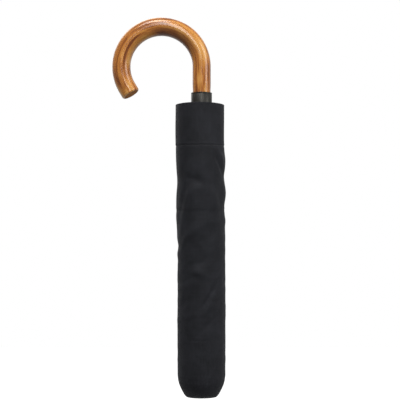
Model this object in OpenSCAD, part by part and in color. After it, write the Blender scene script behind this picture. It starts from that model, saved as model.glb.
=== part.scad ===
/* [Crook handle] */
// Thickness of the bent wooden rod
wood_d = 20; // [19:0.5:21]
// Radius of the bend at the middle of the rod
crook_r = 44.5; // [38:0.5:52]
// Height of the bend's centre above the bottom of the sleeve
crook_z = 363; // [358:1:380]
// Turn of the bend beyond a half circle, in degrees
crook_over = 31; // [10:1:45]
// Straight stretch after the bend
tail_len = 8.6; // [6:0.2:30]
// Rounding of the rod's sawn end
end_round = 1.6; // [0.8:0.1:2.5]

/* [Collar] */
// Outer diameter of the metal collar
collar_d = 23; // [22.6:0.1:25]
// Height of the collar's upper rim
collar_top = 334; // [330:1:340]
// Height of the collar's closed lower end
collar_low = 316; // [316:1:319]
// Thickness of the collar's floor
collar_floor = 3; // [2:0.5:4]

/* [Sleeve] */
// Outer radius of the filled sleeve
sleeve_r = 26.3; // [26:0.1:30]
// Thickness of the sleeve's cloth wall
sleeve_wall = 1.1; // [0.6:0.1:1.1]
// Length of the sleeve from its bottom to its mouth
sleeve_len = 322.5; // [318:0.5:326]
// Outer radius of the sleeve's bottom
sleeve_foot_r = 16.5; // [16:0.5:19]
// Height over which the bottom is drawn in
sleeve_taper = 24; // [22:1:27]

/* [Shaft] */
// Radius of the inner tube
lower_r = 4.8; // [4:0.1:4.8]
// Radius of the outer tube
upper_r = 6; // [5.6:0.1:6]
// Wall of both tubes
tube_wall = 0.6; // [0.4:0.1:0.7]
// Lower end of the inner tube
lower_low = 24; // [20:1:40]
// Upper end of the outer tube
upper_top = 315; // [313:0.5:315]

/* [Frame] */
// Number of ribs round the shaft
ribs = 8; // [8:1:8]
// Height of the crown pivots above the bottom of the sleeve
crown_z = 14; // [14:0.5:16]
// Distance of the crown and runner pivots from the shaft's middle
pivot_u = 10; // [10:0.1:10.4]
// Pivot to pivot length of a top rib
arm_len = 140; // [130:1:140]
// How far a stretcher runs on past the top rib, along the shaft
arm_on = 125; // [110:1:125]
// How far the outer rib's pivot stands out from the top rib
outer_off = 4.5; // [4.4:0.1:4.8]
// Spacing of the link's pivots from the stretcher's
link_up = 8; // [7:0.5:10]
// Length of an outer rib from its pivot to its tip
outer_len = 275; // [240:1:275]

/* [Cloth] */
// Radius of the folded inner canopy
inner_cloth_r = 18.2; // [18:0.1:18.4]
// Radius of the folded outer canopy
outer_cloth_r = 20.6; // [20.4:0.1:20.8]
// Thickness of the folded canopy's plain shells
cloth_t = 0.4; // [0.3:0.1:0.5]
// Inner radius of the closure band
band_r = 22.4; // [22.2:0.1:22.6]

/* [Hidden] */
$fn = 64;
wood_r = wood_d / 2;
stem_z = collar_low + collar_floor;
// Depth to which the straight tail runs into the bend, and how much slimmer it is
weld = 1.5;
tail_step = 0.05;
// Depth of the shaft's bore in the stem
bore_depth = 25;
// Radial clearance of sliding tubes and rivets
run_gap = 0.05;
pin_r = 0.8;
hole_r = pin_r + run_gap;
head_r = 1.3;
// Sideways layers of the frame's flat bars: the ribs in the middle, stretcher and link on either side
mid_t = [-0.6, 0.6];
stretcher_t = [0.9, 2.1];
link_t = [-2.1, -0.9];
head_in = 2.2;
head_out = 2.5;
bar_w = 3;
outer_w = 2.6;
tip_r = 1.5;
slot_gap = 0.15;
// Pivots in a rib's own plane, as [distance from the shaft, height above the crown pivot]
crown_p = [pivot_u, 0];
cross_p = [pivot_u, arm_len];
runner_p = [pivot_u, 2 * arm_len];
outer_p = cross_p + [outer_off, -arm_on];
link_p = cross_p + [0, link_up];
link_q = outer_p + [0, link_up];
tip_p = outer_p + [0, outer_len];
// The crown's disc and cap
crown_r = 13.2;
crown_half = 5;
cap_r = 17;
cap_round = 7;
cap_low = 3;
slot_foot = 1.9;
slot_u = 8.3;
// The runner: a slotted flange below a plain grip
flange_r = 12.6;
flange_half = 6;
grip_r = 8.4;
grip_top = 300;
button_r = 2;
button_h = 293;
button_in = 7.4;
button_out = 10;
button_turn = 22.5;
// Folded canopy
cloth_gap = 3;
inner_cloth_z = [11, 266];
outer_cloth_z = [24, 303];
band_z = [278, 294];
band_t = 1;

rib_nodes = ["top_rib_", "stretcher_", "link_", "outer_rib_", "canopy_outer_"];

function azimuth(i) = (i - 1) * 360 / ribs;

// A rib's own plane, with X out from the shaft and Z up from the crown pivots
module rib_plane(i) {
    rotate(azimuth(i)) translate([0, 0, crown_z]) children();
}

// Extrudes an outline drawn in a rib's plane through the sideways layer t
module layer(t) {
    translate([0, t[1], 0]) rotate([90, 0, 0]) linear_extrude(t[1] - t[0]) children();
}

module bar_outline(p, q, w) {
    run = q - p;
    side = [-run[1], run[0]] / norm(run) * w / 2;
    polygon([p - side, q - side, q + side, p + side]);
    translate(p) circle(w / 2);
    translate(q) circle(w / 2);
}

// A rivet at p that stands out of the middle layer to one side (1 or -1) and ends in a flat head
module rivet(p, side) {
    layer(side > 0 ? [mid_t[1] - 0.2, head_in + 0.1] : [-head_in - 0.1, mid_t[0] + 0.2])
        translate(p) circle(pin_r);
    layer(side > 0 ? [head_in, head_out] : [-head_out, -head_in])
        translate(p) circle(head_r);
}

module holes(points) {
    for (p = points) translate(p) circle(hole_r);
}

module post(r, low, high) {
    translate([0, 0, low]) cylinder(r = r, h = high - low);
}

module tube(r, wall, low, high) {
    translate([0, 0, low]) difference() {
        cylinder(r = r, h = high - low);
        translate([0, 0, -1]) cylinder(r = r - wall, h = high - low + 2);
    }
}

// Bent rod with a straight stem, bored for the shaft's inner tube
module handle() {
    color("#b06a26") difference() {
        union() {
            translate([0, 0, stem_z]) cylinder(r = wood_r, h = crook_z - stem_z);
            translate([-crook_r, 0, crook_z]) rotate([90, 0, 0])
                rotate_extrude(angle = 180 + crook_over) translate([crook_r, 0]) circle(wood_r);
            translate([-crook_r, 0, crook_z]) rotate([0, -(180 + crook_over), 0])
                translate([crook_r, 0, -weld]) rod_end();
        }
        translate([0, 0, stem_z - 1]) cylinder(r = lower_r, h = bore_depth + 1);
    }
}

// Straight end of the rod with a rounded rim
module rod_end() {
    r = wood_r - tail_step;
    long = tail_len + weld;
    rotate_extrude() {
        square([r, long - end_round]);
        square([r - end_round, long]);
        translate([r - end_round, long - end_round]) intersection() {
            circle(end_round);
            square(end_round);
        }
    }
}

// Metal cup that joins the wooden stem to the shaft
module collar() {
    rim = 0.8;
    color("#3a3d44") rotate_extrude() polygon([
        [lower_r, collar_low], [collar_d / 2 - rim, collar_low],
        [collar_d / 2, collar_low + rim], [collar_d / 2, collar_top - rim],
        [collar_d / 2 - rim, collar_top], [wood_r, collar_top],
        [wood_r, stem_z], [lower_r, stem_z]]);
}

module lower_tube() {
    color("#9fa3a8") tube(lower_r, tube_wall, lower_low, stem_z + bore_depth);
}

// Nylon plug that closes the inner tube's lower end
module shaft_plug() {
    color("#1d1d1f") union() {
        translate([0, 0, lower_low - 2]) cylinder(r = lower_r, h = 2);
        translate([0, 0, lower_low]) cylinder(r = lower_r - tube_wall, h = 8);
    }
}

module upper_tube() {
    color("#aeb2b6") tube(upper_r, upper_r - lower_r - run_gap, crown_z - crown_half, upper_top);
}

// Notched disc with a pin across each slot
module crown() {
    color("#1b1b1d") translate([0, 0, crown_z]) {
        difference() {
            translate([0, 0, -crown_half]) cylinder(r = crown_r, h = 2 * crown_half);
            translate([0, 0, -crown_half - 1]) cylinder(r = upper_r, h = 2 * crown_half + 2);
            for (i = [1:ribs]) rotate(azimuth(i))
                translate([slot_u, mid_t[0] - slot_gap, -slot_foot])
                    cube([crown_r, mid_t[1] - mid_t[0] + 2 * slot_gap, crown_half + slot_foot + 1]);
        }
        for (i = [1:ribs]) rotate(azimuth(i)) layer(mid_t + [-0.4, 0.4])
            translate(crown_p) circle(pin_r);
    }
}

// Dished cap that clamps the canopy against the crown, with a peg up into the shaft
module top_cap() {
    peg = 6;
    base = crown_z - crown_half;
    dish = base - cap_low;
    color("#222225") rotate_extrude() {
        polygon(concat(
            [[0, cap_low]],
            [for (a = [0:15:90]) [cap_r - cap_round * (1 - sin(a)), base - dish * cos(a)]],
            [[0, base]]));
        translate([0, base - 0.1]) square([lower_r - 0.4, peg]);
    }
}

module top_rib(i) {
    color("#8e9297") rib_plane(i) union() {
        layer(mid_t) difference() {
            bar_outline(crown_p, link_p, bar_w);
            holes([crown_p]);
        }
        rivet(cross_p, 1);
        rivet(link_p, -1);
    }
}

module stretcher(i) {
    color("#7d8186") rib_plane(i) layer(stretcher_t) difference() {
        union() {
            bar_outline(runner_p, cross_p, bar_w);
            bar_outline(cross_p, outer_p, bar_w);
        }
        holes([runner_p, cross_p, outer_p]);
    }
}

module link(i) {
    color("#7d8186") rib_plane(i) layer(link_t) difference() {
        bar_outline(link_p, link_q, bar_w);
        holes([link_p, link_q]);
    }
}

// Long rib of a canopy's outer half, with a round tip
module outer_rib(i) {
    color("#2a2b2e") rib_plane(i) union() {
        layer(mid_t) bar_outline(outer_p, tip_p - [0, tip_r], outer_w);
        rivet(outer_p, 1);
        rivet(link_q, -1);
        translate([tip_p[0], 0, tip_p[1] - tip_r]) sphere(tip_r);
        translate([tip_p[0], 0, tip_p[1] - 4 * tip_r]) cylinder(r = tip_r, h = 3 * tip_r);
    }
}

// Slotted flange that carries the stretchers, with a grip above it
module runner() {
    slot_t = stretcher_t + [-slot_gap, slot_gap];
    color("#1b1b1d") translate([0, 0, crown_z]) {
        difference() {
            union() {
                translate([0, 0, runner_p[1] - flange_half]) cylinder(r = flange_r, h = 2 * flange_half);
                post(grip_r, runner_p[1], grip_top);
                post(grip_r - 0.4, runner_p[1] - 18, runner_p[1]);
            }
            translate([0, 0, runner_p[1] - 20]) cylinder(r = upper_r + run_gap, h = 60);
            for (i = [1:ribs]) rotate(azimuth(i))
                translate([slot_u, slot_t[0], runner_p[1] - flange_half - 1])
                    cube([flange_r, slot_t[1] - slot_t[0], flange_half + 1 + slot_foot]);
            rotate(button_turn) translate([0, 0, button_h]) rotate([0, 90, 0])
                cylinder(r = button_r + run_gap, h = flange_r);
        }
        for (i = [1:ribs]) rotate(azimuth(i)) layer(slot_t + [-0.4, 0.4])
            translate(runner_p) circle(pin_r);
    }
}

module runner_button() {
    color("#c9ccd0") translate([0, 0, crown_z]) rotate(button_turn) translate([button_in, 0, button_h])
        rotate([0, 90, 0]) cylinder(r = button_r, h = button_out - button_in);
}

// Plain curved strip between two azimuths, standing for folded cloth
module strip(r, t, z, from, to) {
    rotate(from) translate([0, 0, z[0]]) rotate_extrude(angle = to - from)
        translate([r, 0]) square([t, z[1] - z[0]]);
}

// Outer half of the gore between ribs i and i + 1
module canopy_outer(i) {
    color("#26272b") strip(outer_cloth_r, cloth_t, outer_cloth_z,
        azimuth(i) + cloth_gap / 2, azimuth(i + 1) - cloth_gap / 2);
}

// Seam strip of the canopy's inner half; the last one closes the round on to the first
module canopy_inner(i) {
    half = 180 / ribs;
    from = azimuth(i) - (i == 1 ? 0 : half) + cloth_gap / 2;
    to = azimuth(i) + (i > ribs ? 0 : half) - cloth_gap / 2;
    color("#2c2d32") strip(inner_cloth_r, cloth_t, inner_cloth_z, from, to);
}

// Elastic band round the folded canopy
module closure_band() {
    color("#151517") tube(band_r + band_t, band_t, band_z[0], band_z[1]);
}

// Radius of the drawn-in bottom at share k of its height
function foot_radius(k) = sleeve_r - (sleeve_r - sleeve_foot_r) * pow(1 - k, 1.7);

// Cloth sleeve, open at the top and drawn in to a flat bottom
module sleeve() {
    shares = [0:0.125:1];
    outer = [for (k = shares) [foot_radius(k), k * sleeve_taper]];
    inner = [for (k = shares) [foot_radius(1 - k) - sleeve_wall,
                               sleeve_wall + (1 - k) * sleeve_taper]];
    color("#1c1d21") rotate_extrude() polygon(concat(
        [[0, 0]], outer, [[sleeve_r, sleeve_len], [sleeve_r - sleeve_wall, sleeve_len]],
        inner, [[0, sleeve_wall]]));
}

handle();
collar();
lower_tube();
shaft_plug();
upper_tube();
crown();
top_cap();
runner();
runner_button();
closure_band();
sleeve();
for (i = [1:ribs]) {
    top_rib(i);
    stretcher(i);
    link(i);
    outer_rib(i);
    canopy_outer(i);
}
for (i = [1:ribs + 1]) canopy_inner(i);
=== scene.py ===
import math

import bmesh
import bpy
import numpy as np
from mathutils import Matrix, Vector


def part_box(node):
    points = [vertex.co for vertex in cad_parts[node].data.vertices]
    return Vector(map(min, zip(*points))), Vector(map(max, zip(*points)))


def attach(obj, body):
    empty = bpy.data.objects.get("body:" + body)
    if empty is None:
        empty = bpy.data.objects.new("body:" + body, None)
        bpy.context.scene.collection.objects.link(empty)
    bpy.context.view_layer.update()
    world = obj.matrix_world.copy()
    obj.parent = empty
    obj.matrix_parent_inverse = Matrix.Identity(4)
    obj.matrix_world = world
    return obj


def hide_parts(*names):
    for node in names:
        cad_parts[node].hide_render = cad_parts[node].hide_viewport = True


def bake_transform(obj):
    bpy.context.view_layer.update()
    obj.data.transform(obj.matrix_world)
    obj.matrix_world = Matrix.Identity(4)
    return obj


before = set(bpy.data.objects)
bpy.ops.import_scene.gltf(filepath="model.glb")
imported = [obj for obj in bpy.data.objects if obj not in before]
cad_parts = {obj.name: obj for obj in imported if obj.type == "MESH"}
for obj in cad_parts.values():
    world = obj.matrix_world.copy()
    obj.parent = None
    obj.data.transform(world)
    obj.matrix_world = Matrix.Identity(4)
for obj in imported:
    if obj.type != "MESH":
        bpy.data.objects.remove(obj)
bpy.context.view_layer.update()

MM = 0.001
RIBS = 8
STEP = 2 * math.pi / RIBS


# ---------------------------------------------------------------- meshes

def grid_mesh(name, points, wrap=False, uv=None, cap_start=False, cap_end=False):
    """A mesh from rows of points (rows x columns x 3); wrap closes every row into a ring."""
    rows, cols, _ = points.shape
    verts = [tuple(p) for p in points.reshape(-1, 3)]
    last = cols if wrap else cols - 1
    faces, corners = [], []
    for r in range(rows - 1):
        for c in range(last):
            n = (c + 1) % cols
            faces.append((r * cols + c, r * cols + n, (r + 1) * cols + n, (r + 1) * cols + c))
            corners.append(((r, c), (r, c + 1), (r + 1, c + 1), (r + 1, c)))
    if cap_start:
        faces.append(tuple(reversed(range(cols))))
        corners.append([(0, c) for c in reversed(range(cols))])
    if cap_end:
        faces.append(tuple((rows - 1) * cols + c for c in range(cols)))
        corners.append([(rows - 1, c) for c in range(cols)])
    mesh = bpy.data.meshes.new(name)
    mesh.from_pydata(verts, [], faces)
    if uv is not None:
        layer = mesh.uv_layers.new(name="cloth")
        flat = [uv(r, c) for face in corners for r, c in face]
        layer.data.foreach_set("uv", [x for pair in flat for x in pair])
    mesh.polygons.foreach_set("use_smooth", [True] * len(mesh.polygons))
    mesh.update()
    obj = bpy.data.objects.new(name, mesh)
    bpy.context.scene.collection.objects.link(obj)
    return obj


def lathe(name, profile, segments=96):
    """Turns a profile of (radius, height) pairs round the shaft; radius 0 closes an end."""
    angles = np.linspace(0, 2 * math.pi, segments, endpoint=False)
    rows = []
    for radius, height in profile:
        radius = max(radius, 0.001 * MM)
        rows.append(np.stack([radius * np.cos(angles), radius * np.sin(angles),
                              np.full(segments, height)], axis=1))
    obj = grid_mesh(name, np.array(rows), wrap=True)
    weld(obj, 0.002 * MM)
    return obj


def weld(obj, distance):
    """Joins points closer than distance and turns all faces outward."""
    bm = bmesh.new()
    bm.from_mesh(obj.data)
    bmesh.ops.remove_doubles(bm, verts=bm.verts, dist=distance)
    bmesh.ops.recalc_face_normals(bm, faces=bm.faces)
    bm.to_mesh(obj.data)
    bm.free()
    obj.data.polygons.foreach_set("use_smooth", [True] * len(obj.data.polygons))
    obj.data.update()


def apply_modifiers(obj):
    """Leaves the evaluated mesh in place of the modifiers."""
    depsgraph = bpy.context.evaluated_depsgraph_get()
    mesh = bpy.data.meshes.new_from_object(obj.evaluated_get(depsgraph), depsgraph=depsgraph)
    obj.modifiers.clear()
    obj.data = mesh


def arc(centre, radius, start, end, steps):
    """Points of a circular arc in a (radius, height) profile; angles in degrees."""
    turns = np.radians(np.linspace(start, end, steps))
    return [(centre[0] + radius * math.cos(t), centre[1] + radius * math.sin(t)) for t in turns]


def smoothstep(x, low=0.0, high=1.0):
    """0 below low, 1 above high, smooth between."""
    t = np.clip((x - low) / (high - low), 0, 1)
    return t * t * (3 - 2 * t)


def bump(x, middle, width):
    """A bell curve of height 1."""
    return np.exp(-((x - middle) / width) ** 2)


def angle_gap(a, b):
    """Signed difference of two angles, from -pi to pi."""
    return (a - b + math.pi) % (2 * math.pi) - math.pi


# ---------------------------------------------------------------- materials

def material(name, color, roughness, metallic=0.0, **sockets):
    """A Principled material whose constant values sit on the shader's own sockets."""
    mat = bpy.data.materials.new(name)
    mat.use_nodes = True
    shader = mat.node_tree.nodes["Principled BSDF"]
    shader.inputs["Base Color"].default_value = (*color, 1)
    shader.inputs["Roughness"].default_value = roughness
    shader.inputs["Metallic"].default_value = metallic
    for key, value in sockets.items():
        shader.inputs[key.replace("_", " ")].default_value = value
    return mat


RANGE_SOCKETS = ("From Min", "From Max", "To Min", "To Max")


class Nodes:
    """Short calls for a material's node tree."""

    def __init__(self, mat):
        self.tree = mat.node_tree
        self.shader = self.tree.nodes["Principled BSDF"]

    def add(self, kind, **values):
        node = self.tree.nodes.new("ShaderNode" + kind)
        for key, value in values.items():
            if key in node.inputs:
                self.put(node.inputs[key], value)
            else:
                setattr(node, key, value)
        return node

    def put(self, socket, value):
        if isinstance(value, bpy.types.NodeSocket):
            self.tree.links.new(value, socket)
        else:
            socket.default_value = value

    def coords(self, kind="Object", scale=(1, 1, 1)):
        source = self.add("TexCoord").outputs[kind]
        mapping = self.add("Mapping", Vector=source)
        mapping.inputs["Scale"].default_value = scale
        return mapping.outputs["Vector"]

    def noise(self, vector, scale, detail=4.0, roughness=0.55, distortion=0.0):
        return self.add("TexNoise", Vector=vector, Scale=scale, Detail=detail,
                        Roughness=roughness, Distortion=distortion).outputs["Fac"]

    def math(self, operation, a, b=0.5, clamp=False):
        node = self.add("Math", operation=operation, use_clamp=clamp)
        self.put(node.inputs[0], a)
        self.put(node.inputs[1], b)
        return node.outputs[0]

    def spread(self, value, low, high, to_low=0.0, to_high=1.0):
        node = self.add("MapRange")
        self.put(node.inputs["Value"], value)
        for key, x in zip(RANGE_SOCKETS, (low, high, to_low, to_high)):
            node.inputs[key].default_value = x
        return node.outputs["Result"]

    def ramp(self, value, stops):
        node = self.add("ValToRGB", Fac=value)
        while len(node.color_ramp.elements) < len(stops):
            node.color_ramp.elements.new(0.5)
        for element, (place, color) in zip(node.color_ramp.elements, stops):
            element.position = place
            element.color = (*color, 1)
        return node.outputs["Color"]

    def mix(self, factor, a, b, blend="MIX"):
        node = self.add("Mix", data_type="RGBA", blend_type=blend)
        self.put(node.inputs[0], factor)
        for socket, value in ((node.inputs[6], a), (node.inputs[7], b)):
            self.put(socket, value if isinstance(value, bpy.types.NodeSocket) else (*value, 1))
        return node.outputs[2]

    def bump(self, height, strength, distance, normal=None):
        node = self.add("Bump", Height=height, Strength=strength, Distance=distance)
        if normal is not None:
            self.put(node.inputs["Normal"], normal)
        return node.outputs["Normal"]

    def set(self, **values):
        for key, value in values.items():
            self.put(self.shader.inputs[key.replace("_", " ")], value)


def varnished_wood():
    """Honey-brown bent wood under gloss varnish; the grain follows the rod, and painted shade
    darkens the inside and underside of the bend."""
    mat = material("varnished_wood", (0.45, 0.2, 0.06), 0.32, Coat_Weight=0.9, Coat_Roughness=0.2,
                   Coat_IOR=1.5, Specular_IOR_Level=0.12)
    n = Nodes(mat)
    # along the rod, outwards from the bend, and across it, in metres
    grain = n.add("Attribute", attribute_name="grain").outputs["Vector"]

    def stretched(scale, detail, distortion=0.0):
        vector = n.add("Mapping", Vector=grain)
        vector.inputs["Scale"].default_value = scale
        return n.noise(vector.outputs["Vector"], 1.0, detail, 0.55, distortion)

    patch = stretched((24, 70, 70), 2.0, 0.6)
    streak = stretched((22, 300, 300), 3.0, 0.8)
    fibre = stretched((90, 1700, 1700), 3.0)
    pores = stretched((130, 2600, 2600), 2.0)
    figure = n.math("ADD", n.math("MULTIPLY", patch, 0.44), n.math("MULTIPLY", streak, 0.40))
    figure = n.math("ADD", figure, n.math("MULTIPLY", fibre, 0.16))
    color = n.ramp(figure, [(0.40, (0.175, 0.046, 0.008)), (0.465, (0.390, 0.130, 0.021)),
                            (0.53, (0.540, 0.225, 0.042)), (0.60, (0.680, 0.360, 0.100))])
    color = n.mix(n.spread(pores, 0.58, 0.72, 0.0, 0.3), color, (0.20, 0.06, 0.012))
    split = n.add("SeparateXYZ", Vector=grain)
    along = split.outputs["X"]
    outward = n.math("ADD", split.outputs["Y"], n.math("MULTIPLY", patch, 0.006))
    # painted shade on the inside and underside of the bend: where it starts and is full outwards,
    # where it fades in and out along the rod, its amount and its colour
    for edge, fade_in, fade_out, amount, painted_shade in (
            ((-0.001, -0.0085), (0.045, 0.075), (0.215, 0.150), 0.6, (0.115, 0.030, 0.006)),
            ((0.0055, -0.0005), (0.052, 0.074), (0.128, 0.096), 0.62, (0.100, 0.027, 0.006))):
        inside = n.spread(outward, *edge)
        bent = n.math("MULTIPLY", n.spread(along, *fade_in), n.spread(along, *fade_out))
        color = n.mix(n.math("MULTIPLY", n.math("MULTIPLY", inside, bent), amount), color, painted_shade)
    n.set(Base_Color=color, Roughness=n.spread(fibre, 0.3, 0.7, 0.36, 0.28))
    n.set(Normal=n.bump(n.math("ADD", fibre, n.math("MULTIPLY", pores, 0.6)), 0.012, 0.0002))
    return mat


def sawn_end():
    """End grain with growth rings, darker in a band round its rim."""
    mat = material("sawn_end", (0.4, 0.17, 0.05), 0.75, Specular_IOR_Level=0.08)
    n = Nodes(mat)
    vector = n.coords("UV")
    rings = n.add("TexWave", Vector=vector, wave_type="RINGS", rings_direction="Z", Scale=230.0,
                  Distortion=3.0, Detail=3.0).outputs["Fac"]
    color = n.ramp(rings, [(0.2, (0.26, 0.095, 0.022)), (0.8, (0.46, 0.205, 0.058))])
    specks = n.noise(vector, 1800.0, 2.0)
    color = n.mix(n.spread(specks, 0.55, 0.7, 0, 0.5), color, (0.13, 0.04, 0.01))
    middle = n.add("VectorMath", operation="DISTANCE")
    n.put(middle.inputs[0], vector)
    middle.inputs[1].default_value = (0.003, -0.002, 0)
    rim = n.spread(middle.outputs["Value"], 0.0066, 0.0082, 0.0, 0.85)
    color = n.mix(rim, color, (0.085, 0.022, 0.005))
    n.set(Base_Color=color, Normal=n.bump(specks, 0.2, 0.0003))
    return mat


def dark_nickel():
    """Dark plated metal with soft reflections and fine turned lines."""
    mat = material("gunmetal_collar", (0.030, 0.031, 0.032), 0.4, 0.6, IOR=1.4, Coat_Weight=0.03,
                   Coat_Roughness=0.4)
    n = Nodes(mat)
    turning = n.noise(n.coords("Object", (30, 30, 4200)), 1.0, 2.0)
    smear = n.noise(n.coords(), 120.0, 4.0, 0.6)
    n.set(Roughness=n.spread(smear, 0.3, 0.7, 0.38, 0.5),
          Base_Color=n.ramp(smear, [(0.3, (0.025, 0.024, 0.021)), (0.7, (0.040, 0.038, 0.033))]),
          Normal=n.bump(turning, 0.08, 0.0002))
    return mat


def drawn_steel(name, color, roughness, stretch):
    """Drawn or rolled metal: fine lines along one axis, with faint smears."""
    mat = material(name, color, roughness, 0.95)
    n = Nodes(mat)
    lines = n.noise(n.coords("Object", stretch), 1.0, 3.0)
    smear = n.noise(n.coords(), 90.0, 4.0, 0.6)
    darker = tuple(0.72 * x for x in color)
    n.set(Roughness=n.spread(lines, 0.3, 0.7, roughness - 0.07, roughness + 0.12),
          Base_Color=n.ramp(smear, [(0.35, darker), (0.65, color)]),
          Normal=n.bump(lines, 0.1, 0.0002))
    return mat


def moulded_nylon():
    """Black moulded plastic, slightly worn."""
    mat = material("black_nylon", (0.013, 0.013, 0.015), 0.45)
    n = Nodes(mat)
    grain = n.noise(n.coords(), 2600.0, 3.0)
    wear = n.noise(n.coords(), 160.0, 5.0, 0.65)
    n.set(Roughness=n.spread(wear, 0.3, 0.7, 0.36, 0.55),
          Base_Color=n.ramp(wear, [(0.4, (0.010, 0.010, 0.011)), (0.75, (0.022, 0.022, 0.024))]),
          Normal=n.bump(grain, 0.15, 0.0002))
    return mat


def weave(n, vector, pitch):
    """Height of a plain weave: over-and-under threads crossing at right angles, pitch in metres."""
    split = n.add("SeparateXYZ", Vector=vector)
    across = n.math("MULTIPLY", split.outputs["X"], 2 * math.pi / pitch)
    along = n.math("MULTIPLY", split.outputs["Y"], 2 * math.pi / pitch)
    warp = n.math("SINE", across)
    weft = n.math("SINE", along)
    return n.math("MULTIPLY", warp, weft)


def woven_cloth(name, dark, light, pitch, sheen, roughness=0.8, slub=0.5):
    """Plain woven black polyester: weave bump, thicker threads here and there, soft sheen."""
    mat = material(name, light, roughness, Sheen_Weight=sheen, Sheen_Roughness=0.35,
                   Sheen_Tint=(0.80, 0.86, 1.0, 1.0), Specular_IOR_Level=0.13)
    n = Nodes(mat)
    uv = n.coords("UV")
    height = weave(n, uv, pitch)
    threads = n.noise(n.coords("UV", (1, 0.06, 1)), 1.0 / (3 * pitch), 3.0)
    cross = n.noise(n.coords("UV", (0.06, 1, 1)), 1.0 / (3 * pitch), 3.0)
    uneven = n.math("ADD", threads, cross)
    mottle = n.noise(n.coords("Object"), 42.0, 5.0, 0.6)
    shade = n.math("ADD", n.math("MULTIPLY", mottle, 0.7), n.math("MULTIPLY", uneven, 0.15))
    n.set(Base_Color=n.ramp(shade, [(0.36, dark), (0.62, light)]),
          Roughness=n.spread(mottle, 0.3, 0.7, roughness - 0.08, roughness + 0.06))
    fine = n.bump(height, 0.35, 0.4 * pitch)
    n.set(Normal=n.bump(uneven, slub, 0.25 * pitch, fine))
    return mat


def thread_material():
    """Black sewing thread with its twist."""
    mat = material("sewing_thread", (0.016, 0.016, 0.019), 0.5, Sheen_Weight=0.3)
    n = Nodes(mat)
    twist = n.noise(n.coords("Object", (1, 1, 2)), 2500.0, 2.0)
    n.set(Base_Color=n.ramp(twist, [(0.35, (0.010, 0.010, 0.012)), (0.65, (0.030, 0.030, 0.034))]),
          Normal=n.bump(twist, 0.4, 0.0002))
    return mat


WOOD = varnished_wood()
SAWN = sawn_end()
COLLAR = dark_nickel()
TUBE = drawn_steel("steel_tube", (0.60, 0.61, 0.63), 0.24, (900, 900, 6))
RIB = drawn_steel("rib_steel", (0.42, 0.43, 0.45), 0.34, (700, 700, 40))
LACQUER = drawn_steel("black_rib", (0.020, 0.020, 0.022), 0.38, (500, 500, 500))
CATCH = drawn_steel("bright_catch", (0.78, 0.79, 0.80), 0.16, (500, 500, 500))
NYLON = moulded_nylon()
SLEEVE_CLOTH = woven_cloth("sleeve_cloth", (0.0125, 0.0130, 0.0157), (0.0210, 0.0218, 0.0262),
                           0.0007, 0.03, 0.66)
CANOPY_CLOTH = woven_cloth("canopy_cloth", (0.0135, 0.014, 0.018), (0.021, 0.022, 0.028),
                           0.0006, 0.35, 0.62, slub=0.3)
ELASTIC = woven_cloth("elastic_band", (0.009, 0.009, 0.010), (0.018, 0.018, 0.020), 0.0012, 0.1)
THREAD = thread_material()


def dress(obj, mat, body=None, node=None):
    """Gives a piece its material and slot, its body, and the node that it stands for."""
    obj.data.materials.clear()
    obj.data.materials.append(mat)
    if body:
        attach(obj, body)
    if node:
        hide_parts(node)


# ---------------------------------------------------------------- crook

END_SLANT = math.tan(math.radians(6))
ROD_FULL = 1.015          # the rod's mean thickness over its drawn one, clear of the collar
ROD_IN_COLLAR = 0.991


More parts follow.
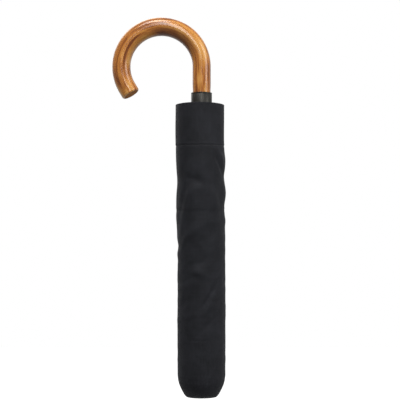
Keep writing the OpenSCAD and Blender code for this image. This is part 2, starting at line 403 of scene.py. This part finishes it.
def crook():
    """The bent rod: a slightly uneven swept circle, grain along it, and a sawn end."""
    low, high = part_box("handle")
    rod = (high.y - low.y) / 2
    bend = 44.1 * MM
    middle = Vector((-bend, 0, high.z - rod - 0.8 * MM - bend))
    tail, over, rim = 9.8 * MM, math.radians(31), 1.6 * MM
    stem = middle.z - low.z
    turn = math.pi + over
    length = stem + bend * turn + tail
    sides = 72

    def centre(s):
        """Place and direction on the rod's middle line at distance s from its foot."""
        if s <= stem:
            return Vector((0, 0, low.z + s)), Vector((0, 0, 1))
        angle = min((s - stem) / bend, turn)
        place = middle + Vector((math.cos(angle), 0, math.sin(angle))) * bend
        direction = Vector((-math.sin(angle), 0, math.cos(angle)))
        return place + direction * max(0.0, s - stem - bend * turn), direction

    stops = list(np.linspace(0, length - rim, 210))   # rows along the rod, then round its rim
    radii = [rod] * len(stops)
    for a in np.linspace(0, math.pi / 2, 9)[1:]:
        stops.append(length - rim + rim * math.sin(a))
        radii.append(rod - rim + rim * math.cos(a))
    rows = []
    for s, radius in zip(stops, radii):
        place, direction = centre(s)
        side = Vector((0, 1, 0))
        out = side.cross(direction)
        ring = []
        for k in range(sides):
            a = 2 * math.pi * k / sides
            wobble = 1 + 0.004 * math.sin(3 * a + 40 * s) + 0.005 * math.sin(2 * a - 23 * s + 1)
            fullness = ROD_IN_COLLAR + (ROD_FULL - ROD_IN_COLLAR) * float(
                smoothstep(s, 16 * MM, 26 * MM))
            inner = radius * (fullness if s > length - rim else wobble - 1 + fullness)
            near_end = float(smoothstep(s, length - 12 * MM, length - rim))
            cut = END_SLANT * (math.sin(a) - 1) * inner * near_end
            ring.append(place + (out * math.cos(a) + side * math.sin(a)) * inner + direction * cut)
        rows.append(ring)
    points = np.array(rows, float)

    def uv(r, c):
        return (stops[r], c / sides * 2 * math.pi * rod)

    obj = grid_mesh("crook_rod", points, wrap=True, uv=uv, cap_start=True)
    grain = obj.data.attributes.new("grain", "FLOAT_VECTOR", "POINT")
    for r, s in enumerate(stops):
        for k in range(sides):
            a = 2 * math.pi * k / sides
            grain.data[r * sides + k].vector = (s, rod * math.cos(a), rod * math.sin(a))
    side_faces = len(obj.data.polygons)   # all later faces belong to the sawn end
    bm = bmesh.new()
    bm.from_mesh(obj.data)
    bm.verts.ensure_lookup_table()
    layer = bm.loops.layers.uv["cloth"]
    place, direction = centre(length)
    first = (len(stops) - 1) * sides
    ring = [bm.verts[first + k] for k in range(sides)]
    face_radius = radii[-1] * ROD_FULL
    for share in (0.9, 0.72, 0.5, 0.28, 0.1):
        inner = []
        for v in ring:
            offset = v.co - place
            radial = offset - direction * offset.dot(direction)
            target = radial.normalized() * face_radius * share
            lift = 0.12 * MM * (1 - share) + END_SLANT * (target.y - face_radius)
            inner.append(bm.verts.new(place + target + direction * lift))
        for k in range(sides):
            n = (k + 1) % sides
            face = bm.faces.new((ring[k], ring[n], inner[n], inner[k]))
            face.material_index = 1   # the sawn end's, set again once the materials are in
            face.smooth = True
        ring = inner
    face = bm.faces.new(ring)
    face.material_index = 1
    out = Vector((0, 1, 0)).cross(direction)
    for face in bm.faces:
        if face.material_index == 1:
            for loop in face.loops:
                offset = loop.vert.co - place
                loop[layer].uv = (offset.dot(out) + 3 * MM, offset.y - 2 * MM)
    bmesh.ops.recalc_face_normals(bm, faces=bm.faces)
    bm.to_mesh(obj.data)
    bm.free()
    dress(obj, WOOD, "handle", "handle")
    obj.data.materials.append(SAWN)
    for face in obj.data.polygons[side_faces:]:
        face.material_index = 1


def collar():
    """Turned collar: a rolled rim at the top, a fine groove below it and a bevelled foot."""
    low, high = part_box("collar")
    radius = (high.x - low.x) / 2
    wood = 10.02 * MM
    tube = 4.8 * MM
    floor = low.z + 3 * MM
    rim = 0.55 * MM
    profile = [(tube, low.z)]
    profile += arc((radius - 0.9 * MM, low.z + 0.9 * MM), 0.9 * MM, -90, 0, 7)
    profile += [(radius, high.z - 1.9 * MM), (radius - 0.16 * MM, high.z - 1.75 * MM),
                (radius - 0.16 * MM, high.z - 1.5 * MM), (radius, high.z - 1.35 * MM)]
    profile += arc((radius - rim, high.z - rim), rim, 0, 90, 7)
    profile += arc((wood + 0.4 * MM, high.z - 0.4 * MM), 0.4 * MM, 90, 180, 5)
    profile += [(wood, floor), (tube, floor), (tube, low.z)]
    dress(lathe("collar_ferrule", profile, 128), COLLAR, "handle", "collar")


# ---------------------------------------------------------------- sleeve

SLEEVE_LOW, SLEEVE_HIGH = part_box("sleeve")
SLEEVE_R = (SLEEVE_HIGH.x - SLEEVE_LOW.x) / 2
SLEEVE_TOP = SLEEVE_HIGH.z
FOOT_H = 24 * MM
HEM = SLEEVE_TOP - 47.5 * MM   # height of the hem's row of stitches
RIM = SLEEVE_TOP - 0.5 * MM    # where the cloth starts to roll over at the mouth
CLOTH = 0.8 * MM
FRONT = -math.pi / 2
SEAM = math.pi / 2
SEAM_HALF = 2.0 * MM           # from the seam's middle to its stitches

# Drawn-in foot: heights, and the radius at each seen from the front and from the side, in mm.
# The bottom seam runs left to right, so the foot is wider than it is deep.
FOOT_HEIGHTS = (0.0, 0.6, 1.4, 2.8, 4.8, 7.0, 9.2, 13.6, 18.0, 24.0)
FOOT_WIDE = (15.6, 17.2, 18.4, 19.2, 20.2, 21.4, 22.5, 24.4, 25.6, 26.3)
FOOT_DEEP = (8.0, 10.6, 13.0, 15.6, 17.9, 20.0, 21.7, 24.2, 25.5, 26.3)


def sleeve_radius(turn, height):
    """Outer radius of the sleeve at rest, with its soft creases and lines."""
    wide = np.interp(height, np.array(FOOT_HEIGHTS) * MM, np.array(FOOT_WIDE) * MM)
    deep = np.interp(height, np.array(FOOT_HEIGHTS) * MM, np.array(FOOT_DEEP) * MM)
    base = 1 / np.hypot(np.cos(turn) / wide, np.sin(turn) / deep)
    free = smoothstep(height, 0.02, 0.06) * (1 - 0.6 * smoothstep(height, 0.29, 0.322))
    wave = 0.25 * np.sin(2 * turn + 21 * height + 0.6) + 0.22 * np.sin(3 * turn - 34 * height)
    wave = wave + 0.16 * np.sin(5 * turn + 55 * height + 1.0)
    wave = wave + 0.10 * np.sin(7 * turn - 93 * height)
    dents = 0.0
    for side, z, deep, wide, tall, slant in CREASES:
        gap = angle_gap(turn, side)
        run = height - z - slant * gap
        dents = dents + CREASE_DEPTH * deep * bump(gap, 0, wide) * bump(run, 0, tall)
    return base + free * (wave + dents) * MM


# Soft creases: side of the sleeve, height, depth in mm (minus is a dent), spread round and up,
# slant. All depths are then taken CREASE_DEPTH times.
CREASE_DEPTH = 1.3
CREASES = [
    (0.0, 0.262, 0.8, 0.7, 0.009, 0.004),
    (0.0, 0.224, 0.9, 0.6, 0.008, -0.006),
    (0.1, 0.194, 0.8, 0.7, 0.006, 0.004),
    (0.0, 0.243, -0.7, 0.5, 0.006, 0.008),
    (0.0, 0.209, -0.7, 0.6, 0.005, 0.006),
    (0.1, 0.08, 0.4, 0.7, 0.02, 0.0),
    (math.pi, 0.236, -1.1, 0.7, 0.012, 0.006),
    (math.pi, 0.166, -1.2, 0.6, 0.006, -0.004),
    (math.pi, 0.130, 0.5, 0.7, 0.016, 0.0),
    (math.pi, 0.197, 0.5, 0.5, 0.008, 0.0),
    (FRONT - 0.15, 0.237, -1.7, 0.50, 0.0055, -0.008),
    (FRONT - 0.3, 0.226, 0.8, 0.45, 0.006, 0.010),
    (FRONT - 0.75, 0.221, -1.2, 0.25, 0.011, 0.050),
    (FRONT - 0.35, 0.217, 1.0, 0.20, 0.012, 0.030),
    (FRONT + 0.12, 0.219, -1.0, 0.20, 0.012, 0.010),
    (FRONT + 0.55, 0.217, 1.3, 0.22, 0.010, -0.010),
    (FRONT + 0.85, 0.256, -1.3, 0.30, 0.0055, -0.034),
    (FRONT + 0.95, 0.264, 0.8, 0.30, 0.006, -0.034),
    (FRONT - 0.4, 0.262, -0.9, 0.40, 0.007, 0.014),
    (FRONT + 0.2, 0.258, 0.7, 0.35, 0.008, 0.006),
    (FRONT + 0.05, 0.150, -1.6, 0.40, 0.006, 0.012),
    (FRONT - 0.1, 0.139, 1.3, 0.32, 0.008, -0.006),
    (FRONT + 0.45, 0.117, -1.7, 0.45, 0.006, 0.040),
    (FRONT + 0.30, 0.103, 1.4, 0.45, 0.008, 0.034),
    (FRONT - 0.75, 0.106, -1.3, 0.35, 0.008, 0.018),
    (FRONT - 0.5, 0.092, 0.8, 0.35, 0.008, 0.012),
    (FRONT + 0.2, 0.080, -1.2, 0.50, 0.006, 0.026),
    (FRONT - 0.3, 0.045, 0.7, 0.45, 0.008, 0.014),
    (FRONT - 0.6, 0.176, 1.2, 0.30, 0.007, 0.030),
    (FRONT + 0.6, 0.184, -1.2, 0.32, 0.007, 0.024),
    (FRONT + 0.1, 0.190, 0.8, 0.30, 0.006, 0.010),
    (FRONT - 0.75, 0.148, -0.9, 0.30, 0.008, -0.020),
    (SEAM - 0.6, 0.215, -1.3, 0.5, 0.006, 0.020),
    (SEAM + 0.7, 0.150, -1.2, 0.5, 0.006, -0.022),
    (SEAM + 0.2, 0.09, 1.1, 0.5, 0.008, 0.016),
    (SEAM - 0.5, 0.12, -1.2, 0.4, 0.006, -0.026),
    (SEAM + 0.5, 0.245, -1.2, 0.4, 0.006, 0.022),
    (SEAM - 0.4, 0.182, 1.0, 0.4, 0.007, 0.014),
]


def sleeve_lines(turn, height):
    """Stitched and pressed lines: the hem row, two faint folds, and the seam down the back."""
    depth = -0.35 * bump(height, HEM, 0.7 * MM) + 0.22 * bump(height, HEM + 2.2 * MM, 1.1 * MM)
    depth = depth + 0.35 * smoothstep(height, 0.2055, 0.2072)
    depth = depth - 0.12 * bump(height, 0.2035, 0.7 * MM)
    depth = depth - 0.28 * bump(height, 0.065, 0.7 * MM) * bump(angle_gap(turn, FRONT), -0.1, 0.6)
    gap = np.abs(angle_gap(turn, SEAM)) * SLEEVE_R
    seam = 0.45 * (1 - smoothstep(gap, 2.6 * MM, 3.4 * MM))
    rows = -0.25 * bump(gap, SEAM_HALF, 0.35 * MM)
    foot = -0.4 * bump(height, 2.0 * MM, 0.8 * MM)
    return (depth + seam + rows + foot) * MM


def crumple(turns, heights):
    """Creases that the loose sleeve settles into, by cloth simulation, as changes of radius.

    The cloth grows by a few percent between its drawn-in foot and its hem, with the folded umbrella
    inside it, so it buckles as slack fabric does."""
    cols, levels, frames = 104, 168, 22
    around = np.linspace(0, 2 * math.pi, cols, endpoint=False)
    up = np.linspace(1 * MM, SLEEVE_TOP - 1 * MM, levels)
    turn, height = np.meshgrid(around, up)
    start = sleeve_radius(turn, height)
    points = np.stack([start * np.cos(turn), start * np.sin(turn), height], axis=2)
    bag = grid_mesh("crumple_bag", points, wrap=True)
    held = bag.vertex_groups.new(name="held")
    for r in range(levels):
        grip = 1.0 - smoothstep(up[r], 0.016, 0.045) * (1 - smoothstep(up[r], 0.262, 0.276))
        held.add(list(range(r * cols, (r + 1) * cols)), float(max(grip, 0.012)), "ADD")
    filling = lathe("crumple_filling", [(0.0, 0.0), (0.0235, 0.012), (0.0247, 0.03),
                                        (0.0243, 0.15), (0.0247, 0.3), (0.0247, 0.34),
                                        (0.0, 0.34)], 64)
    filling.modifiers.new("collision", "COLLISION")
    filling.collision.thickness_outer = 0.0003
    filling.collision.cloth_friction = 4
    cloth = bag.modifiers.new("cloth", "CLOTH")
    cloth.settings.quality = 6
    cloth.settings.mass = 0.12
    cloth.settings.tension_stiffness = 30
    cloth.settings.compression_stiffness = 30
    cloth.settings.shear_stiffness = 12
    cloth.settings.bending_stiffness = 1.5
    cloth.settings.shrink_min = -0.042
    cloth.settings.vertex_group_mass = "held"
    cloth.settings.effector_weights.gravity = 0.3
    cloth.collision_settings.use_collision = True
    cloth.collision_settings.distance_min = 0.0003
    cloth.collision_settings.use_self_collision = False
    cloth.point_cache.frame_start, cloth.point_cache.frame_end = 1, frames
    scene = bpy.context.scene
    for step in range(1, frames + 1):
        scene.frame_set(step)
    depsgraph = bpy.context.evaluated_depsgraph_get()
    mesh = bag.evaluated_get(depsgraph).to_mesh()
    found = np.empty(len(mesh.vertices) * 3)
    mesh.vertices.foreach_get("co", found)
    found = found.reshape(levels, cols, 3)
    scene.frame_set(1)
    for obj in (bag, filling):
        bpy.data.objects.remove(obj, do_unlink=True)
    change = np.hypot(found[..., 0], found[..., 1]) - start
    change -= change.mean(axis=1, keepdims=True) * 0.85   # keeps the creases, not the swelling
    for _ in range(2):
        change = (change + np.roll(change, 1, 1) + np.roll(change, -1, 1)) / 3
        change[1:-1] = (change[:-2] + change[1:-1] + change[2:]) / 3
    limit = 1.5 * MM
    change = limit * np.tanh(change / limit)
    rows = np.interp(heights, up, np.arange(levels))
    low = np.clip(rows.astype(int), 0, levels - 2)
    part = (rows - low)[:, None]
    fine = change[low] * (1 - part) + change[low + 1] * part
    places = np.append(around, 2 * math.pi)
    wide = np.hstack([fine, fine[:, :1]])
    return np.array([np.interp(turns, places, row) for row in wide])


def sleeve_lean(height):
    """How far the full bag leans towards the crook's tip side, growing up to its mouth."""
    return -1.9 * MM * smoothstep(height, 0.16, 0.312)


def mouth_sag(turn, height):
    """How far the slack mouth hangs below its drawn height, most at the two sides."""
    return smoothstep(height, 0.285, SLEEVE_TOP) * (1.2 + 0.6 * np.cos(turn) ** 2) * MM


def sleeve_shell():
    """Outer surface of the sleeve as rows from the foot's edge up to the rim."""
    cols = 224
    heights = np.concatenate([np.linspace(0.6 * MM, FOOT_H, 40)[:-1],
                              np.linspace(FOOT_H, RIM, 330)])
    turns = np.linspace(0, 2 * math.pi, cols, endpoint=False)
    turn, height = np.meshgrid(turns, heights)
    creased = crumple(turns, heights)
    radius = sleeve_radius(turn, height) + creased + sleeve_lines(turn, height)
    return turns, heights, radius


def sleeve(turns, heights, radius):
    """The closed bag: bottom, outer wall, rolled rim, inner wall and inner bottom."""
    cols = len(turns)
    unit = np.stack([np.cos(turns), np.sin(turns), np.zeros(cols)], axis=1)

    def ring(radii, height):
        row = unit * np.broadcast_to(radii, cols)[:, None]
        row[:, 0] += sleeve_lean(height)
        row[:, 2] = height - mouth_sag(turns, height)
        return row

    rows, along = [], []

    def put(radii, height, v):
        rows.append(ring(radii, height))
        along.append(v)

    first, top = radius[0], radius[-1]
    for share in (0.02, 0.15, 0.35, 0.55, 0.75, 0.9):
        put(first * share, 0.05 * MM, -first[0] * (1 - share))
    put(first - 0.5 * MM, 0.05 * MM, -0.5 * MM)
    for k, height in enumerate(heights):
        put(radius[k], height, height)
    for a in np.radians((22, 45, 68, 90, 112, 135, 158, 180)):
        put(top - CLOTH / 2 + CLOTH / 2 * math.cos(a), RIM + CLOTH / 2 * math.sin(a),
            RIM + CLOTH / 2 * a)
    for k in range(len(heights) - 1, -1, -3):
        inner = np.minimum(radius[k] - CLOTH, radius[k].mean() - 0.6 * CLOTH)
        put(inner, max(heights[k], 1.0 * MM), 2 * RIM - heights[k])
    put(first * 0.9 - CLOTH, 0.9 * MM, 2 * RIM)
    put(first * 0.3, 0.9 * MM, 2 * RIM + first[0] * 0.6)
    put(first * 0.02, 0.9 * MM, 2 * RIM + first[0] * 0.9)

    def uv(r, c):
        return (c / cols * 2 * math.pi * SLEEVE_R, along[r])

    obj = grid_mesh("sleeve_bag", np.array(rows), wrap=True, uv=uv, cap_start=True, cap_end=True)
    dress(obj, SLEEVE_CLOTH, "sleeve", "sleeve")


STITCH_LENGTH, STITCH_THICK, STITCH_PITCH = 2.1 * MM, 0.22 * MM, 2.9 * MM


def stitch_row(name, places, normals, directions):
    """Short raised stitches of the sleeve, each a small rounded hexagonal bead of thread."""
    bm = bmesh.new()
    ends = ((-0.5, 0.35), (-0.38, 0.85), (0.0, 1.0), (0.38, 0.85), (0.5, 0.35))
    for place, normal, direction in zip(places, normals, directions):
        side = direction.cross(normal).normalized()
        rings = []
        for share, swell in ends:
            lift = normal * (0.02 * MM - 0.14 * MM * (2 * share) ** 2)
            middle = place + direction * STITCH_LENGTH * share + lift
            reach = STITCH_THICK * swell
            rings.append([
                bm.verts.new(middle + (side * math.cos(a) + normal * math.sin(a)) * reach)
                for a in np.linspace(0, 2 * math.pi, 6, endpoint=False)])
        for one, two in zip(rings, rings[1:]):
            for k in range(6):
                bm.faces.new((one[k], one[(k + 1) % 6], two[(k + 1) % 6], two[k]))
        bm.faces.new(list(reversed(rings[0])))
        bm.faces.new(rings[-1])
    bmesh.ops.recalc_face_normals(bm, faces=bm.faces)
    mesh = bpy.data.meshes.new(name)
    bm.to_mesh(mesh)
    bm.free()
    mesh.polygons.foreach_set("use_smooth", [True] * len(mesh.polygons))
    obj = bpy.data.objects.new(name, mesh)
    bpy.context.scene.collection.objects.link(obj)
    dress(obj, THREAD, "sleeve")


def sleeve_stitches(turns, heights, radius):
    """Rows of thread that follow the finished shell."""
    def sleeve_point(turn, height):
        level = int(np.argmin(np.abs(heights - height)))
        reach = float(np.interp(turn % (2 * math.pi), turns, radius[level], period=2 * math.pi))
        return Vector((reach * math.cos(turn) + sleeve_lean(height), reach * math.sin(turn),
                       height - mouth_sag(turn, height)))

    count = round(2 * math.pi * SLEEVE_R / STITCH_PITCH)
    around = [2 * math.pi * k / count for k in range(count)]
    stitch_row("hem_stitches", [sleeve_point(a, HEM) for a in around],
               [Vector((math.cos(a), math.sin(a), 0)) for a in around],
               [Vector((-math.sin(a), math.cos(a), 0)) for a in around])
    for side, name in ((-1, "left"), (1, "right")):
        turn = SEAM + side * SEAM_HALF / SLEEVE_R
        levels = np.arange(12 * MM, SLEEVE_TOP - 2 * MM, STITCH_PITCH)
        out = Vector((math.cos(turn), math.sin(turn), 0))
        stitch_row(f"seam_stitches_{name}", [sleeve_point(turn, z) for z in levels],
                   [out] * len(levels), [Vector((0, 0, 1))] * len(levels))


# ---------------------------------------------------------------- folded and open canopy

SEAM_TUCK = 1.0 * MM   # cloth of each gore that lies under its neighbour's edge
GORE_CLOTH = 0.25 * MM
INNER_RING, OUTER_RING = 18.4 * MM, 20.8 * MM   # radii on which the folded halves lie
INNER_OPEN, OUTER_OPEN = 0.19, 0.38             # widths that the weave is drawn for, when open
INNER_RIPPLE, OUTER_RIPPLE = 0.1 * MM, 0.28 * MM
PLEAT = 0.8 * MM   # how far each strip's last edge stands off its ring, over the next one's tuck


def invert_smoothstep(w):
    """The share of the way at which smoothstep reaches w."""
    return 0.5 - math.sin(math.asin(1 - 2 * w) / 3)


def gore(name, i, radius, low, high, width, ripple):
    """Half of a gore as a closed thin shell; its chord runs from rib i to the next rib."""
    start, end = (Vector((math.cos(turn), math.sin(turn), 0)) * radius
                  for turn in ((i - 1) * STEP, i * STEP))
    out = (start + end).normalized()
    chord = (end - start).length
    weights = np.linspace(0, 1, 25)
    shares = np.array([invert_smoothstep(w) for w in weights])
    heights = np.linspace(low, high, 49)
    outward = start.normalized()
    tucked = start + outward * 0.15 * MM + outward.cross(Vector((0, 0, 1))) * SEAM_TUCK
    rows = []
    for height in heights:
        row = [tucked + Vector((0, 0, height))]
        for share in shares:
            x = (share - 0.5) * chord
            rise = math.sqrt(radius ** 2 - x ** 2) - radius * math.cos(STEP / 2)
            waves = (math.sin(95 * height + 5 * share + 2 * i)
                     + 0.6 * math.sin(210 * height - 6 * share + i))
            pleat = PLEAT * share ** 3 + ripple * math.sin(math.pi * share) * waves
            row.append(start.lerp(end, share) + out * (rise + pleat) + Vector((0, 0, height)))
        rows.append(row)

    def uv(r, c):
        return (weights[c - 1] * width if c else -SEAM_TUCK, heights[r])

    obj = grid_mesh(name, np.array(rows, float), uv=uv)
    solid = obj.modifiers.new("thickness", "SOLIDIFY")
    solid.thickness = GORE_CLOTH
    solid.offset = 0
    apply_modifiers(obj)
    dress(obj, CANOPY_CLOTH)
    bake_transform(obj)
    return obj


def canopy():
    """Sixteen half gores, folded into strips side by side at rest."""
    inner_low, inner_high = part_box("canopy_inner_2")
    outer_low, outer_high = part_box("canopy_outer_1")
    for i in range(1, RIBS + 1):
        edges = (f"canopy_inner_{i}", f"canopy_inner_{i + 1}")
        inner = gore(f"gore_inner_{i}", i, INNER_RING, inner_low.z, inner_high.z,
                     INNER_OPEN, INNER_RIPPLE)
        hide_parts(*edges)
        outer = gore(f"gore_outer_{i}", i, OUTER_RING, outer_low.z, outer_high.z,
                     OUTER_OPEN, OUTER_RIPPLE)
        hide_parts(f"canopy_outer_{i}")


def closure_band():
    """Ribbed elastic loop round the folded canopy."""
    low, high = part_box("closure_band")
    radius = (high.x - low.x) / 2
    thick = 0.9 * MM
    profile = [(radius - thick, low.z + 0.4 * MM)]
    profile += arc((radius - 0.4 * MM, low.z + 0.4 * MM), 0.4 * MM, -90, 0, 5)
    for z in np.linspace(low.z + 1 * MM, high.z - 1 * MM, 25):
        ridge = 0.12 * MM * math.sin((z - low.z) / (1.3 * MM) * 2 * math.pi)
        profile.append((radius - 0.15 * MM + ridge, z))
    profile += arc((radius - 0.4 * MM, high.z - 0.4 * MM), 0.4 * MM, 0, 90, 5)
    profile += [(radius - thick, high.z - 0.4 * MM), (radius - thick, low.z + 0.4 * MM)]
    dress(lathe("elastic_loop", profile), ELASTIC, "closure_band",
          "closure_band")


# ---------------------------------------------------------------- frame materials

def frame_metals():
    """Better materials on the CAD pieces whose shape is right."""
    chosen = {"lower_tube": TUBE, "upper_tube": TUBE, "shaft_plug": NYLON, "crown": NYLON,
              "top_cap": NYLON, "runner": NYLON, "runner_button": CATCH}
    for i in range(1, RIBS + 1):
        chosen[f"top_rib_{i}"] = RIB
        chosen[f"stretcher_{i}"] = RIB
        chosen[f"link_{i}"] = RIB
        chosen[f"outer_rib_{i}"] = LACQUER
    for name, mat in chosen.items():
        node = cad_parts[name]
        node.data.materials.clear()
        node.data.materials.append(mat)


# ---------------------------------------------------------------- studio

def area_light(name, place, target, size, power):
    """A rectangular white light at place, turned to target; size in metres, power in watts."""
    light = bpy.data.lights.new(name, "AREA")
    light.shape = "RECTANGLE"
    light.size, light.size_y = size
    light.energy = power
    obj = bpy.data.objects.new(name, light)
    obj.location = place
    obj.rotation_euler = (Vector(target) - Vector(place)).to_track_quat("-Z", "Y").to_euler()
    bpy.context.scene.collection.objects.link(obj)


def studio():
    """Camera level with the object's middle, white floor and backdrop, and four soft lights."""
    scene = bpy.context.scene
    target = (-0.00165, 0, 0.21615)
    camera = bpy.data.cameras.new("camera")
    camera.sensor_width = 36
    distance, field = 0.95, 0.44   # metres to the object, and metres across the picture there
    camera.lens = camera.sensor_width * distance / field
    eye = bpy.data.objects.new("camera", camera)
    eye.location = (target[0], -distance, target[2])
    eye.rotation_euler = (math.pi / 2, 0, 0)
    scene.collection.objects.link(eye)
    scene.camera = eye
    scene.view_settings.view_transform = "Standard"

    bpy.ops.mesh.primitive_grid_add(x_subdivisions=8, y_subdivisions=8, size=14,
                                    location=(0, 0, -1.15))
    floor = bpy.context.object
    floor.name = "floor"
    mat = material("studio_floor", (0.9, 0.9, 0.9), 0.85, Emission_Color=(1, 1, 1, 1),
                   Emission_Strength=0.8)
    n = Nodes(mat)
    paper = n.noise(n.coords("Object"), 3.0, 3.0)
    n.set(Base_Color=n.ramp(paper, [(0.3, (0.88, 0.88, 0.88)), (0.7, (0.91, 0.91, 0.91))]))
    floor.data.materials.append(mat)
    floor.visible_diffuse = False
    floor.visible_glossy = False

    world = bpy.data.worlds.new("studio")
    scene.world = world
    world.use_nodes = True
    tree = world.node_tree
    back = tree.nodes["Background"]
    back.inputs["Color"].default_value = (1, 1, 1, 1)
    sky = tree.nodes.new("ShaderNodeSeparateXYZ")
    brighter = tree.nodes.new("ShaderNodeMapRange")
    tree.links.new(tree.nodes.new("ShaderNodeTexCoord").outputs["Generated"], sky.inputs[0])
    tree.links.new(sky.outputs["Y"], brighter.inputs["Value"])
    for key, x in zip(RANGE_SOCKETS, (-0.1, 0.7, 0.27, 0.62)):   # brighter behind than in front
        brighter.inputs[key].default_value = x
    tree.links.new(brighter.outputs["Result"], back.inputs["Strength"])
    white = tree.nodes.new("ShaderNodeBackground")
    white.inputs["Color"].default_value = (1, 1, 1, 1)
    white.inputs["Strength"].default_value = 1.0
    path = tree.nodes.new("ShaderNodeLightPath")
    mix = tree.nodes.new("ShaderNodeMixShader")
    out = tree.nodes["World Output"]
    tree.links.new(path.outputs["Is Camera Ray"], mix.inputs[0])
    tree.links.new(back.outputs[0], mix.inputs[1])
    tree.links.new(white.outputs[0], mix.inputs[2])
    tree.links.new(mix.outputs[0], out.inputs["Surface"])

    area_light("key", (0.05, -1.2, 1.08), (-0.02, 0, 0.33), (0.45, 0.9), 10)
    area_light("overhead", (-0.25, -0.55, 1.75), (0, 0, 0.2), (0.8, 0.6), 15)
    area_light("side", (1.3, -0.6, 0.85), (0, 0, 0.22), (0.7, 0.9), 9)
    area_light("back", (-0.5, 1.25, 0.95), (0, 0, 0.2), (1.4, 1.4), 7)


crook()
collar()
shell = sleeve_shell()
sleeve(*shell)
sleeve_stitches(*shell)
canopy()
closure_band()
frame_metals()
studio()
